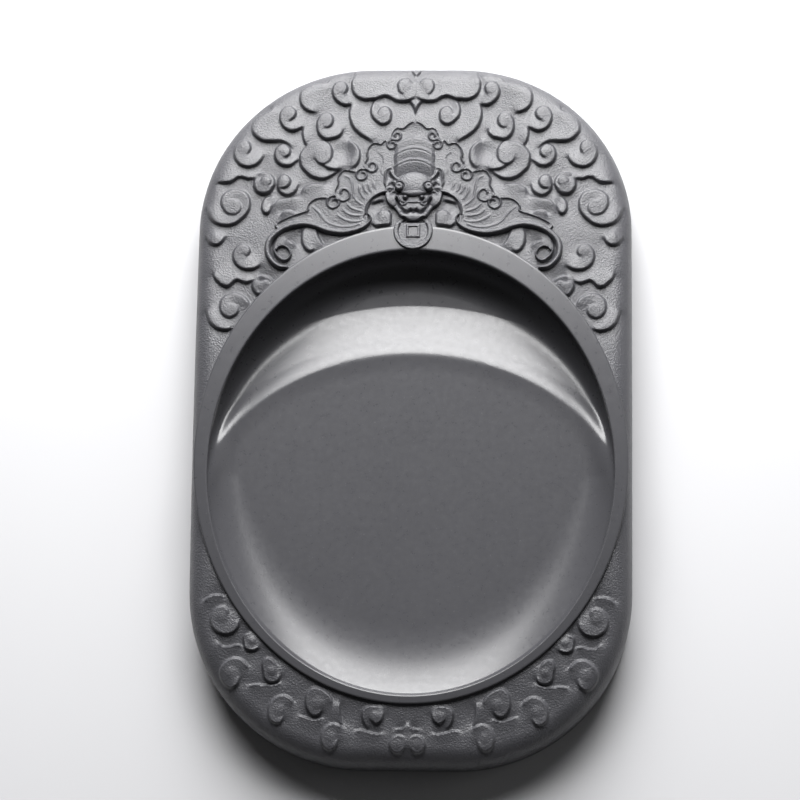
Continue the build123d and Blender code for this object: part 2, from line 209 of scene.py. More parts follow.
# Places are in millimetres from the stone's middle, for the left side; the right side mirrors them
cloud_lines = [
    # round the crown
    [(-1, 97.5), (-2.2, 98.8), (-4, 98.8), (-5.2, 97.6), (-5.2, 95.6), (-4.4, 94.2), (-3.4, 93.8)],
    [(-1.6, 102), (-0.9, 101), (-0.3, 99.8)],
    [(-2, 91.9), (-0.9, 90.4), (-0.3, 89), (-0.1, 87.5)],
    # the scroll left of the crown, and the long line down from it
    [(-21.2, 94), (-20.6, 94.8), (-20.3, 96.2), (-21, 97.6), (-22.4, 98.1), (-23.9, 97.3), (-24.6, 95.6),
     (-24.5, 93.8), (-23.6, 92.2), (-22.3, 91.1), (-20.8, 90.5), (-19, 90.9)],
    [(-19, 90.8), (-19.6, 88.5), (-19.3, 86), (-18.3, 83.5), (-16.5, 81.5), (-14.3, 80), (-12.6, 78.9)],
    # the scroll that turns the other way, under the top lobe
    [(-12, 92.2), (-12.7, 91), (-13.2, 89.2), (-12.8, 87), (-11.6, 85.4), (-10, 84.3), (-8.6, 84.4),
     (-7.4, 85.5), (-7.1, 87.6), (-7.7, 89.3), (-9.3, 90), (-10.6, 89), (-11.2, 87.6)],
    [(-18.3, 99.9), (-19, 98), (-18.9, 95.8), (-18.2, 94), (-16.8, 92.8), (-15, 92.2), (-12.8, 92.4),
     (-12, 92.4), (-10.5, 93), (-9, 93.4), (-7.5, 92.9), (-6.2, 92), (-5, 91.7), (-3.5, 91.6),
     (-2, 91.9), (-1, 92.4), (-0.4, 92.8)],
    # lobes on the shoulder
    [(-17.8, 101.8), (-18.2, 100.9), (-18.6, 100)],
    [(-18.8, 99.8), (-20, 100.4), (-22, 100.7), (-24, 100.4), (-25.7, 99.3), (-26.4, 98.4)],
    [(-26.3, 98.3), (-28, 98.1), (-31, 97.7), (-33, 96.7), (-34.1, 95), (-34.3, 93), (-34, 91.3),
     (-33, 89.7), (-31.5, 88.7), (-29.5, 88.3)],
    # the three scrolls of the upper corner
    [(-37.6, 85.5), (-36.6, 86.1), (-35.7, 86.9), (-35.3, 88.3), (-35.9, 89.6), (-37.3, 90.3),
     (-38.8, 89.9), (-39.8, 88.5), (-40.1, 86.8), (-39.6, 84.9), (-38.4, 83.3), (-36.6, 82.5),
     (-34.9, 82.8), (-33.2, 83.8)],
    [(-33.1, 83.5), (-33.3, 82), (-33, 80), (-32.3, 78.5), (-31.7, 77.8)],
    [(-42.3, 91), (-43, 89.5), (-45, 88.7), (-47.2, 87.6), (-48.2, 85.3), (-48.2, 82.8), (-46.8, 80.8),
     (-44.8, 79.6), (-42, 79.4), (-39.5, 79.4), (-37.5, 78.5), (-36.4, 77.2)],
    [(-27, 83.5), (-25.7, 83.4), (-24.6, 84.3), (-24.2, 86), (-24.8, 87.5), (-26.2, 88.1), (-27.8, 87.5),
     (-28.7, 86), (-29, 84), (-28.6, 82), (-27.8, 80.7), (-26.2, 79.7), (-24.5, 79.9), (-22.8, 80.4),
     (-21.6, 81.5), (-21.2, 83)],
    [(-49.4, 75.3), (-48.7, 76.3), (-48.4, 77.5), (-48.9, 79), (-50.2, 79.9), (-51.7, 79.6), (-53, 78.3),
     (-53.4, 76.3), (-53, 74.3), (-51.8, 72.5), (-50.3, 71.6), (-48.5, 71.4), (-46.5, 72.1),
     (-45.2, 73.5), (-44.6, 75)],
    [(-38.6, 74.2), (-37.4, 74.5), (-36.6, 75.8), (-36.9, 77.4), (-38.2, 78.6), (-39.8, 78.3), (-41, 77),
     (-41.3, 75), (-40.7, 73.2), (-39.5, 72), (-37.8, 71.5), (-36.2, 71.8), (-35, 72.8), (-34, 73.6)],
    # the big scroll over the wing, and the dished lobe beside it
    [(-29.3, 74), (-28.8, 72.9), (-27.5, 71.9), (-26, 72), (-24.7, 73.2), (-24.2, 75.2), (-24.5, 77.2),
     (-25.8, 78.8), (-27.8, 79.3), (-30.5, 78.6), (-32.8, 76.8), (-33.8, 74.5), (-33.4, 71.5),
     (-32, 69.7), (-30, 68), (-27.5, 67.3), (-25.5, 67.6), (-23.5, 68.8), (-22.3, 70.1)],
    [(-27, 71.7), (-25.5, 70.6), (-23.5, 70.1), (-21.5, 70.2)],
    [(-18.3, 70.6), (-17.2, 71.3), (-16.3, 72.8), (-16, 74.5), (-16.3, 76.5), (-17.5, 78.3), (-19.5, 79.5)],
    # the small scrolls along the side
    [(-46.9, 67.9), (-47.2, 65.9), (-46.8, 64.6), (-46, 63.5), (-44.8, 62.9), (-43.4, 62.9), (-42.2, 63.5),
     (-41.6, 64.5), (-40.9, 65.8), (-41, 67.3), (-41.6, 68.4), (-42.7, 69.4), (-44, 69.8), (-45.4, 69.5),
     (-45.9, 69)],
    [(-42.9, 65.4), (-42.1, 66.2), (-42.4, 67.5), (-43.6, 68.1), (-44.7, 67.7), (-45.2, 66.7)],
    [(-39.3, 64.6), (-38, 64.6), (-36.8, 65.3), (-36.3, 66.8), (-36.9, 68.2), (-38.3, 68.9), (-39.6, 68.2),
     (-40.2, 66.5), (-40.1, 64.8), (-39.3, 63.3), (-37.6, 62.4), (-35.8, 62.7), (-34.5, 63.9), (-33.9, 66)],
    [(-58, 66.8), (-54.8, 66.7), (-53.6, 67), (-52.7, 67.7), (-51.8, 68.3), (-50.7, 68.3), (-49.1, 67.7),
     (-48, 67.8), (-47.1, 67.9)],
    [(-41.6, 62.4), (-43.2, 61.9), (-44.2, 60.9), (-44.6, 59.3), (-44.5, 58.1), (-43.9, 57), (-42.9, 56.7),
     (-42, 57.4), (-41.5, 58.6), (-40.9, 59.9)],
    # the lobes between the big scroll and the wing
    [(-26.2, 65.7), (-27.8, 66), (-29.5, 66.1), (-30.8, 65.8), (-31.7, 65.2), (-32.6, 64.5), (-33.2, 63.2)],
    [(-34, 62.2), (-35.1, 62), (-36.9, 61.7), (-38.7, 61.4), (-39.8, 61), (-40.6, 60.1), (-41.2, 59),
     (-41.9, 57.1)],
    [(-34.6, 56.8), (-35.8, 57.6), (-37, 57.7), (-38.2, 57.3), (-39, 56.1)],
    # the leaves under the arm, and the lobes between the arm and the head
    [(-32.1, 51.7), (-32.5, 50.1), (-32.5, 48.3), (-32, 46.8), (-31.1, 45.5), (-29.9, 44.9), (-28.7, 45.4)],
    [(-25.3, 46.8), (-26, 47), (-26.9, 48.2), (-27.7, 49.8), (-28.3, 51.3)],
    [(-34, 46.5), (-34.6, 47.4), (-35.8, 48.3), (-37.3, 48.7)],
    [(-12.4, 59.5), (-11.3, 59.8), (-9.8, 60.3), (-8.7, 60.4)],
    [(-12.3, 53.3), (-11.7, 53), (-10.8, 52.4), (-9.1, 52.7), (-7.3, 52.8), (-6.6, 53.5), (-6.5, 55.5),
     (-6.5, 56.2), (-7.4, 57.2), (-8.6, 57.5), (-9.8, 57), (-10.6, 56.2)],
    # the big double scroll of the side
    [(-60.8, 59.4), (-60.6, 57.8), (-59.9, 56.1), (-58.8, 54.7), (-57.1, 53.7), (-55.3, 53.3),
     (-53.5, 53.4), (-51.9, 54), (-50.5, 55.1), (-49.3, 56.3), (-48.4, 57.7), (-48, 59.2), (-48, 60.8),
     (-48.5, 62.3), (-49.4, 63.5), (-50.8, 64.2), (-52.2, 64.5), (-53.5, 64.5), (-54.8, 63.9), (-56, 63),
     (-56.5, 61.6), (-56.5, 60), (-55.9, 58.5), (-54.9, 57.2), (-53.5, 56.6), (-52.2, 56.6),
     (-51.2, 57.3), (-50.6, 58.5), (-50.9, 59.8), (-51.7, 60.7), (-52.8, 61.1), (-53.7, 61)],
    [(-60.7, 50.1), (-60, 48.5), (-58.8, 47.6), (-57.3, 47.4), (-55.9, 48.3), (-55, 50)],
    [(-48.8, 43.6), (-47.9, 44.3), (-47.5, 45.5), (-48.3, 46.9), (-49.7, 47.5), (-51, 47.1), (-52.1, 45.9),
     (-52.5, 44.1), (-52.1, 42.2), (-50.9, 40.7), (-49.3, 39.8), (-47.6, 39.6), (-45.9, 40), (-44.4, 41)],
    [(-58.2, 39), (-57.9, 37.5), (-56.9, 36.3), (-55.4, 35), (-53.7, 34.7), (-52.8, 35.3), (-51.9, 36.2),
     (-51.1, 36.6), (-49.9, 36.1), (-48.4, 35.7), (-47.2, 36.1), (-46.4, 36.4)],
    # the last scrolls before the pool's lip meets the side
    [(-41.6, 34.9), (-42.2, 35.9), (-43.1, 36.3), (-44.3, 35.9), (-45.8, 36.2), (-46.6, 35.5),
     (-46.6, 34.3), (-46.1, 33.2), (-45.1, 32.1), (-43.9, 32)],
    [(-40.5, 36), (-41.1, 36.9), (-42.3, 37.7), (-43.8, 38), (-44.9, 37.7)],
    [(-47.1, 28.7), (-47.6, 30.2), (-48.6, 31.5), (-50.1, 32.4), (-51.5, 32.8), (-53, 32.6), (-54.3, 32),
     (-55.4, 30.9), (-55.8, 29.6), (-55.8, 28.1), (-55.3, 26.7), (-54.3, 25.7), (-52.9, 25.2),
     (-51.6, 25.7), (-50.8, 26.4), (-50.4, 27.4), (-50.7, 28.3), (-51.4, 29), (-52.3, 29.2), (-53, 28.9)],
    [(-59.8, 27.9), (-59.6, 26.1), (-58.8, 24.1), (-57.4, 22.6), (-55.6, 21.7), (-53.8, 21.5), (-52.1, 22)],
    # the foot of the stone
    [(-51.3, -61), (-51.6, -59.5), (-53, -58.7), (-54.8, -59.3), (-55.9, -60.8), (-56.3, -62.5),
     (-55.8, -64.5), (-54, -66), (-52, -66.4), (-50, -65.9), (-48.5, -64.3), (-48.2, -62.5)],
    [(-52.5, -55.8), (-54.5, -55.4), (-57, -55.9), (-58.6, -57.3)],
    [(-47.2, -69.8), (-49, -69.5), (-51, -70), (-52.8, -70), (-54.5, -68.5)],
    [(-45, -66), (-46.8, -67), (-46.6, -69.5), (-46, -70.7), (-44, -71), (-42.3, -70.3)],
    [(-45.2, -76), (-47, -74), (-49, -73.3), (-51, -73.8), (-52.8, -75.3), (-53.6, -77), (-53.3, -78.9),
     (-52, -80.8), (-50.2, -81.6), (-48.5, -80.5), (-47.9, -78.5)],
    [(-37.3, -75.5), (-38.6, -73.8), (-40.5, -73.5), (-41.3, -75), (-41, -77), (-40.6, -79), (-39, -80),
     (-37, -79.6), (-36.2, -77.8)],
    [(-36, -79.8), (-37.5, -80.6), (-40, -81), (-43, -80.7), (-45.3, -81)],
    [(-32.3, -86), (-33.4, -84.6), (-35.2, -83.8), (-37.2, -84.2), (-38.8, -85.8), (-39.4, -87.8),
     (-39.2, -90), (-38, -91.3), (-36.2, -91.3), (-35.2, -89.8)],
    [(-21.2, -86), (-22, -84), (-24, -82.3), (-26.3, -81.6), (-28, -82.5), (-28.8, -84.5), (-28.6, -87),
     (-27.3, -89), (-25.5, -89.2), (-24.2, -87.8)],
    [(-24, -90), (-27, -90.5), (-30.8, -89.2)],
    [(-18.5, -92), (-19.2, -89), (-19.3, -85.5)],
    [(-18.3, -92.8), (-20, -91.8), (-22, -91.8), (-23.5, -93), (-24.3, -95), (-23.8, -97.8), (-22.2, -98.9),
     (-20.4, -98), (-19.8, -96)],
    [(-8, -86.8), (-10, -86.6), (-12, -87.2), (-12.8, -88.6), (-12.4, -91), (-11, -93)],
    [(-6.8, -88), (-7.3, -90.3), (-9, -91.4), (-10.6, -90)][::-1],
    [(-7, -93.9), (-8.5, -94.4), (-11, -93.9), (-13, -93.3), (-14.8, -93.5)],
    [(-1, -95.3), (-2.5, -94.8), (-4, -95.3), (-4.9, -97), (-4.4, -98.8), (-3.1, -99.6), (-1.9, -99.4),
     (-0.9, -98)],
    [(-0.3, -91.2), (-0.9, -92.3), (-2, -93), (-3.5, -92.9)],
]
# the raised eyes of the scrolls: place and radius
cloud_eyes = [
    (-3.2, 96.4, 2.0), (-22.3, 95.7, 1.9), (-9.5, 87.3, 1.9), (-37.4, 87.9, 1.9), (-26.3, 85.8, 1.9),
    (-50.7, 77.4, 1.9), (-38.9, 76.2, 1.8), (-27.2, 75.5, 2.8), (-43.7, 66.6, 1.2), (-38.4, 66.7, 1.6),
    (-52.9, 59.6, 2.0), (-58, 50.3, 2.6), (-49.8, 45.6, 1.9), (-44.3, 34.8, 1.6), (-53.2, 27.4, 1.9),
    (-8.8, 55.2, 1.9),
    (-53.3, -61.5, 2.4), (-44.4, -68.3, 1.6), (-50.2, -77.4, 2.3), (-38.6, -76.8, 1.8), (-36.4, -87.8, 2.2),
    (-25.2, -86, 2.4), (-21.8, -95.2, 2.0), (-9.2, -89.3, 1.8), (-2.6, -97.1, 1.7),
]
clouds = Carving(reach=4.0, cell=0.15, low=(-72.0, -114.0), high=(72.0, 114.0))
for points in cloud_lines:
    # the scrolls at the foot are lower, and edged with a cord
    at_foot = points[0][1] < -50
    clouds.line(points, rise=1.5 if at_foot else 2.0, cut=-0.4 if at_foot else 0.2)
clouds.settle()


def polygon_distance(x, y, outline):
    """How far places are outside a closed outline; inside it the distance is negative."""
    distance = np.full(x.shape, 1e9)
    odd = np.zeros(x.shape, bool)
    for (ax, ay), (bx, by) in zip(outline, np.roll(outline, -1, axis=0)):
        dx, dy = bx - ax, by - ay
        t = np.clip(((x - ax) * dx + (y - ay) * dy) / max(dx * dx + dy * dy, 1e-12), 0, 1)
        distance = np.minimum(distance, (x - ax - t * dx) ** 2 + (y - ay - t * dy) ** 2)
        crosses = (ay > y) != (by > y)
        odd ^= crosses & (x < ax + (y - ay) * dx / (dy if dy else 1e-12))
    return np.where(odd, -1, 1) * np.sqrt(distance)


# the ground that the bat covers, sunk a little so that the clouds stay under it
bat_ground = [
    (3, 84), (-4, 82), (-6, 80.5), (-7.5, 77.5), (-11.5, 77), (-13, 74), (-13.2, 70.5), (-15.5, 68.5),
    (-20, 68.8), (-21.4, 66), (-21.8, 62), (-24, 60), (-29, 60), (-30, 56.6), (-36, 54.2), (-40, 52),
    (-42, 48), (-41, 42.5), (-38, 40.8), (-40.8, 46), (-39.5, 50), (-35, 52.6), (-30, 52.6), (-24, 51),
    (-19, 51), (-15, 52.5), (-14, 57.5), (-12.4, 60.8), (-8, 62.6), (-7, 59.5), (-4, 55.5), (3, 54),
]


def cloud_height(x, y):
    """How far the cloud carving stands above the plain face."""
    height = 0.75 + clouds.at(x, y)
    for ex, ey, radius in cloud_eyes:
        for side in (-1, 1):
            away = np.clip(((x - side * ex) ** 2 + (y - ey) ** 2) / radius**2, 0, 1)
            height = height + 0.5 * (1 - away) ** 2
    # the lobe beside the big scroll is dished
    dish = np.clip(((np.abs(x) - 20.8) ** 2 + (y - 75.6) ** 2) / 4.4**2, 0, 1)
    height = height - 1.1 * (1 - dish) ** 2
    lowest, highest = -0.5, 1.9
    middle, span = (lowest + highest) / 2, (highest - lowest) / 2
    under = np.clip(-polygon_distance(-np.abs(x), y, bat_ground) / 0.8, 0, 1)
    return middle + span * np.tanh((height - middle) / span) - 0.9 * under


# The lip's outer oval, which the carving runs in under
lip_half_width, lip_half_length, lip_below = 62.3, 69.25, 16.75


def outline_distance(x, y):
    """How far a place is outside the block's outline, and the way straight out from it."""
    qx, qy = np.abs(x) - (half_width - corner_radius), np.abs(y) - (half_length - corner_radius)
    ox, oy = np.maximum(qx, 0), np.maximum(qy, 0)
    far = np.hypot(ox, oy)
    inside = np.minimum(np.maximum(qx, qy), 0)
    nx = np.where(far > 0, ox, qx > qy) / np.where(far > 0, far, 1)
    ny = np.where(far > 0, oy, qx <= qy) / np.where(far > 0, far, 1)
    return far + inside - corner_radius, nx * np.sign(x), ny * np.sign(y)


def carve_face(name, left, right, low, high, nodes, lap=0):
    """A part of the carved face: a fine sheet bent over the shoulder, with the clouds raised on it.
    Sheets that meet on the middle line lap a little way under each other, so that no joint shows."""
    spacing, lap_slope = 0.26, 0.6
    across, along = right - left, high - low
    bm = bmesh.new()
    bmesh.ops.create_grid(bm, x_segments=round(across / spacing), y_segments=round(along / spacing), size=0.5)
    bmesh.ops.scale(bm, vec=(across, along, 1), verts=bm.verts)
    bmesh.ops.translate(bm, vec=((left + right) / 2, (low + high) / 2, 0), verts=bm.verts)
    flat = np.array([v.co for v in bm.verts])
    x, y = flat[:, 0], flat[:, 1]
    away, nx, ny = outline_distance(x, y)
    oval = np.hypot(x / (lip_half_width - 1), (y + lip_below) / (lip_half_length - 1))
    dropped = (away > shoulder) | (oval < 1)
    bmesh.ops.delete(bm, geom=[v for v, gone in zip(bm.verts[:], dropped) if gone], context="VERTS")
    kept = ~dropped
    x, y, away, nx, ny = x[kept], y[kept], away[kept], nx[kept], ny[kept]
    # past the shoulder's start the sheet bends down along a round edge, then runs straight down
    bent = np.maximum(away + shoulder, 0)
    px, py = x - nx * bent, y - ny * bent
    slope = np.arctan(np.maximum((px * nx + (py + dome_below) * ny) / dome_radius, 0))
    radius = shoulder / (1 - np.sin(slope))
    turn = np.minimum(slope + bent / radius, math.pi / 2)
    straight = np.maximum(bent - radius * (math.pi / 2 - slope), 0)
    reach = radius * (np.sin(turn) - np.sin(slope))
    lean = np.where(bent > 0, turn, 0)
    under = lap_slope * np.maximum(lap * x, 0)
    out = reach - under * np.sin(lean)
    place = np.stack([px + nx * out, py + ny * out], 1)
    drop = radius * (np.cos(slope) - np.cos(turn)) + straight
    z = dome(px, py) - np.where(bent > 0, drop, 0)
    stay = np.clip((np.cos(lean) - 0.12) / 0.6, 0, 1)
    rise = cloud_height(place[:, 0], place[:, 1]) * stay * stay * (3 - 2 * stay)
    z = z + rise - under * np.cos(lean)
    bm.verts.ensure_lookup_table()
    for v, cx, cy, cz in zip(bm.verts, place[:, 0], place[:, 1], z):
        v.co = (cx, cy, cz)
    rim = [e for e in bm.edges if e.is_boundary]
    for v in bmesh.ops.extrude_edge_only(bm, edges=rim)["geom"]:
        if isinstance(v, bmesh.types.BMVert):
            v.co.z = base_height
    bmesh.ops.holes_fill(bm, edges=[e for e in bm.edges if e.is_boundary], sides=0)
    finish_piece(bm, name, carved_slate, nodes)


edge, end, lapped = half_width + shoulder, half_length + shoulder, 0.5
upper_groups = ("upper", "corner", "wing", "side", "lip")
upper_left = ["cloud_crown"] + ["clouds_" + group + "_left" for group in upper_groups]
upper_right = ["clouds_" + group + "_right" for group in upper_groups]
lower = ["cloud_foot"]
for group in ("lower", "foot"):
    lower += ["clouds_" + group + "_left", "clouds_" + group + "_right"]
carve_face("carved_upper_left", -edge, lapped, -lip_below, end, upper_left, lap=1)
carve_face("carved_upper_right", -lapped, edge, -lip_below, end, upper_right, lap=-1)
carve_face("carved_lower", -edge, edge, -end, -lip_below, lower)


# The pool. A broad flat pan for grinding the ink, a deeper crescent well above it where the ink runs
# together, and a raised lip all round, cut from the same block and honed smooth.
pool_half_width, pool_half_length, pool_below = 58.2, 64.25, 19.25
lip_rise = 1.8
pan_floor, well_floor = 15.5, 10.5
crest_half_width, crest_half_length, crest_below = 66.0, 55.0, 38.0
well_slope = 13.0
well_wall = 10.0
# rubbed with finer and finer grit: darker, glossier, and hardly any grain
honed_slate = slate("polished slate", "#3d3d40", "#424245", 0.30, 0.25, 0.006)


def oval_inset(x, y, a, b, below):
    """How far a place is inside an oval that lies on the middle line."""
    y = y + below
    share = np.maximum(np.hypot(x / a, y / b), 1e-6)
    steep = np.hypot(x / a**2, y / b**2) / share
    return (1 - share) / steep


def pool_floor(x, y):
    """The height of the pool's bottom and walls."""
    inset = np.maximum(oval_inset(x, y, pool_half_width, pool_half_length, pool_below), 0)
    beyond = -oval_inset(x, y, crest_half_width, crest_half_length, crest_below)
    lip = dome(x, y) + lip_rise
    foot = np.clip((-y - 20) / 60, 0, 1)
    wide, power, steep = 9.7 + 18.3 * foot, 2.6 + foot, 1.5 * foot
    rise = lip - 0.6 - pan_floor
    pan = pan_floor + (rise - steep) * np.clip(1 - inset / wide, 0, 1) ** power
    pan = pan + steep * np.clip(1 - inset / 0.8, 0, 1) ** 2
    slope = pan_floor - (pan_floor - well_floor) * np.clip(beyond / well_slope, -0.1, 1.1)
    hollow = np.clip(well_wall - inset, 0, well_wall)
    wall = well_floor + well_wall - np.sqrt(np.maximum(well_wall**2 - hollow**2, 0))
    # the slope and the wall meet in a soft corner
    well = np.logaddexp(slope, wall)
    share = np.clip((beyond + 6.5) / 10.5, 0, 1)
    share = share * share * (3 - 2 * share)
    return pan * (1 - share) + np.minimum(well, lip - 0.6) * share


bm = bmesh.new()
turns, fine_from = 480, 0.62
closer = 1 - (1 - np.linspace(0, 1, 121)[1:]) ** 1.3
floor_rings = np.concatenate([np.linspace(0.02, fine_from, 50), fine_from + (1 - fine_from) * closer])
lip_rings = np.concatenate([0.5 - 0.5 * np.cos(np.linspace(0, math.pi, 25))[1:-1], [1.0]])
wall_rings = [0.3, 1.0, 3.0, 14.0]
rings = len(floor_rings) + len(lip_rings) + len(wall_rings)
profile = [bm.verts.new((i + 1.0, 0, 0)) for i in range(rings)]
profile += [bm.edges.new(pair) for pair in zip(profile[:-1], profile[1:])]
full_turn = {"cent": (0, 0, 0), "axis": (0, 0, 1), "angle": 2 * math.pi, "use_merge": True}
bmesh.ops.spin(bm, geom=profile, steps=turns, **full_turn)
bmesh.ops.remove_doubles(bm, verts=bm.verts, dist=0.0005)
spun = np.array([v.co for v in bm.verts])
ring = np.rint(np.hypot(spun[:, 0], spun[:, 1])).astype(int) - 1
around = np.arctan2(spun[:, 1], spun[:, 0])
share = np.concatenate([floor_rings, lip_rings, wall_rings])[ring]
inner = np.stack([pool_half_width * np.cos(around), pool_half_length * np.sin(around) - pool_below], 1)
outer = np.stack([lip_half_width * np.cos(around), lip_half_length * np.sin(around) - lip_below], 1)
on_floor, on_lip = ring < len(floor_rings), ring < len(floor_rings) + len(lip_rings)
inside = inner * share[:, None] + [0, -pool_below] * (1 - share[:, None])
between = inner + (outer - inner) * share[:, None]
x, y = np.where(on_floor[:, None], inside, np.where(on_lip[:, None], between, outer)).T
broad = np.hypot(*(outer - inner).T)
from_edge = np.minimum(share, 1 - share) * broad
lip_round = 0.55
curve = np.clip(1 - from_edge / lip_round, 0, 1)
lip_top = dome(x, y) + lip_rise
lip_z = lip_top - lip_round * (1 - np.sqrt(1 - curve**2)) * np.where(share < 0.5, 1.0, 0.7)
z = np.where(on_floor, pool_floor(x, y), np.where(on_lip, lip_z, lip_top - lip_round - share))
for v, cx, cy, cz in zip(bm.verts, x, y, z):
    v.co = (cx, cy, cz)
bmesh.ops.holes_fill(bm, edges=[e for e in bm.edges if e.is_boundary], sides=0)
finish_piece(bm, "pool_and_lip", honed_slate, ["pool_rim"])


# The bat, cut from the same stone and standing a little over the clouds. Its head is down, over the coin,
# and its wings spread to both sides. Fine cords edge its wings and crest and end in small curls.
bat = Carving(reach=1.6, cell=0.1, low=(-48.0, 36.0), high=(48.0, 90.0))
# the wing's upper edge, in runs that end in curls
crest_edge = [(-0.1, 85.1), (-1.2, 84.8), (-2.1, 84.2), (-2.9, 83.4), (-3.7, 82.8), (-4.4, 82.9),
              (-5.3, 83), (-6.2, 82.4), (-6.7, 81.4), (-6.9, 80.2)]
wing_edges = [
    [(-7.9, 78.6), (-8.6, 78.9), (-9.2, 78.6), (-9.9, 77.8), (-10.8, 78.1), (-12.2, 78.1), (-13, 77.4),
     (-13.8, 76.2), (-14, 74.6), (-13.8, 73.4), (-14.4, 72.3), (-14.7, 71.3)],
    [(-16.6, 69.3), (-17.9, 69.4), (-19.3, 69.7), (-20.6, 69.7), (-21.6, 68.9), (-22.3, 67.5),
     (-22.2, 66.1), (-22.3, 65), (-22.9, 63.9), (-23.2, 62.7)],
    [(-24.6, 61.2), (-26.3, 61.2), (-28.1, 61.1), (-29.3, 60.6), (-30.4, 59.6), (-31, 58.5), (-30.9, 57.3),
     (-32.5, 56.7), (-34.7, 56), (-37.4, 54.9), (-39.8, 53.5)],
]
curls = [
    [(-6.9, 80.2), (-6.7, 79.3), (-5.9, 79.1), (-5, 79.2), (-4.3, 79.7), (-4.1, 80.5), (-4.4, 81.2),
     (-5.1, 81.5), (-5.8, 81.1), (-5.9, 80.4), (-5.4, 79.9)],
    [(-5.9, 79.2), (-6.8, 79.1), (-7.7, 78.6), (-8, 77.8), (-7.7, 76.9), (-6.9, 76.4), (-6, 76.7),
     (-5.6, 77.6), (-6, 78.3), (-6.7, 78.4), (-7.1, 77.8)],
    [(-14.7, 71.3), (-14.2, 70.2), (-13.3, 69.5), (-12.3, 69.2), (-11.3, 69.7), (-11, 70.8), (-11.5, 71.8),
     (-12.5, 72.1), (-13.2, 71.4), (-13, 70.6)],
    [(-13.3, 69.5), (-14.5, 69.9), (-15.7, 70), (-16.6, 69.3), (-16.9, 68.2), (-16.3, 67), (-15.2, 66.7),
     (-14.1, 67.4), (-14.1, 68.6), (-14.9, 69.1), (-15.6, 68.6)],
    [(-23.2, 62.6), (-23, 61.5), (-22.2, 60.7), (-21.2, 60.3), (-20, 60.3), (-19, 61.1), (-18.7, 62.4),
     (-19.5, 63.6), (-20.7, 63.9), (-21.4, 63), (-21.1, 62.1)],
    [(-21.2, 60.3), (-22.1, 61.1), (-23.4, 61.7), (-24.7, 61.3), (-25.2, 60.1), (-24.9, 58.8), (-23.8, 58),
     (-22.5, 58.4), (-21.8, 59.4), (-22.3, 60.4), (-23.2, 60.7), (-23.9, 60.1)],
]
# the fingers of the wing, and the soft fold near its root
fingers = [
    [(-29.9, 59), (-28.4, 57.6), (-27.3, 56.6), (-26.6, 55.5), (-25.2, 53.9), (-23.3, 52.9), (-20.6, 52.3),
     (-17.5, 52.5), (-15.2, 53.4)],
    [(-22.4, 56.3), (-20.7, 54.9), (-18.4, 54), (-15.8, 54), (-14.6, 54.6)],
    [(-20.8, 58), (-19.4, 56.5), (-17.1, 55.8), (-15.2, 55.8)],
    [(-19.7, 59.9), (-18.5, 58.4), (-16.7, 57.5), (-14.8, 57)],
    [(-20.6, 68.2), (-18.8, 67.3), (-18, 65.1), (-17.7, 63.2), (-17.3, 61.3), (-15.9, 59.7), (-14.6, 58.8)],
    [(-16, 65.1), (-15.7, 63.2), (-14.8, 61.5), (-13.9, 60.5)],
    [(-14.7, 65.6), (-14.2, 63.6), (-13.2, 62.3)],
    [(-13.3, 66), (-12.9, 64.1), (-12.1, 62.8)],
    [(-11.8, 66.2), (-11.3, 64.6), (-10.8, 63.7)],
]
for points in wing_edges + [crest_edge] + curls:
    bat.line(points, rise=0.0, cut=-0.6)
for points in fingers:
    bat.line(points[::-1], rise=0.35, cut=-0.28)
bat.line([(-11, 75.3), (-9.5, 74), (-9.2, 72.1), (-9.9, 69.6), (-9.4, 67.8)], rise=0.25, cut=0.0)
# the face: its lines are the edges of the ear, the cheek, the lip, the teeth and the nose
face_lines = [
    ([(-6.6, 69.5), (-6.6, 68.6), (-5.9, 67.6), (-5.1, 66.8), (-4.6, 65.9)], 0.0, -0.5),
    ([(-7.2, 69), (-7, 68.1), (-6.5, 67.4), (-6, 66.8), (-5.8, 66.1)], 0.0, 0.9),
    ([(-8.1, 64.4), (-8.5, 65.7), (-8.4, 66.9), (-8.5, 68.2), (-8.3, 69.2), (-7.8, 69.9), (-7, 70.2),
      (-6.3, 69.8)], 0, -0.4),
    ([(-7.5, 64.8), (-6.9, 65.8), (-6.1, 66), (-5.6, 65.5)], 0.0, -0.5),
    ([(-6.6, 65.3), (-5.9, 64.8), (-5.2, 64.5)], 0.0, 0.8),
    ([(-7.9, 63.4), (-7.2, 64), (-6.3, 63.9), (-5.7, 63.9)], 0.0, -0.5),
    ([(-7.6, 63), (-7, 62.8), (-6.3, 63.1)], 0.0, 0.5),
    ([(-7.3, 62.1), (-6.6, 61.9), (-5.9, 62.5), (-4.8, 62.2), (-3.7, 61.9), (-2.5, 61.6)], -0.3, 0.6),
    ([(-5.4, 61.7), (-4.6, 61.1), (-4.2, 60.2), (-3.9, 59.3), (-3.2, 58.7), (-2.4, 58.9),
      (-1.7, 59.6)], 0.0, -0.7),
    ([(-5.3, 60.9), (-4.9, 60), (-4.3, 59), (-4, 58), (-3.3, 57.4), (-2.9, 56.7), (-2.1, 56.1),
      (-1.4, 56.4), (-0.7, 57), (-0.2, 56.4), (0.3, 56.2)], 0.0, 1.0),
    ([(-3.4, 61.2), (-2.9, 60.5), (-2.4, 60), (-1.9, 60.5), (-1.4, 61)], 0.0, 0.7),
    ([(-1.9, 59.8), (-1.3, 60.2), (-0.4, 60.3), (0.3, 60.3)], -0.5, 0.0),
    ([(-2.7, 58.2), (-2.6, 57.4), (-2, 56.8), (-1.5, 57.2), (-0.9, 57.6), (-0.4, 57.3),
      (0.3, 57.1)], 0.5, 0.0),
    ([(-6.2, 59.6), (-6.1, 59.3)], 0.0, 0.8),
]
for points, rise, cut in face_lines:
    bat.line(points, rise=rise, cut=cut)
bat.settle()


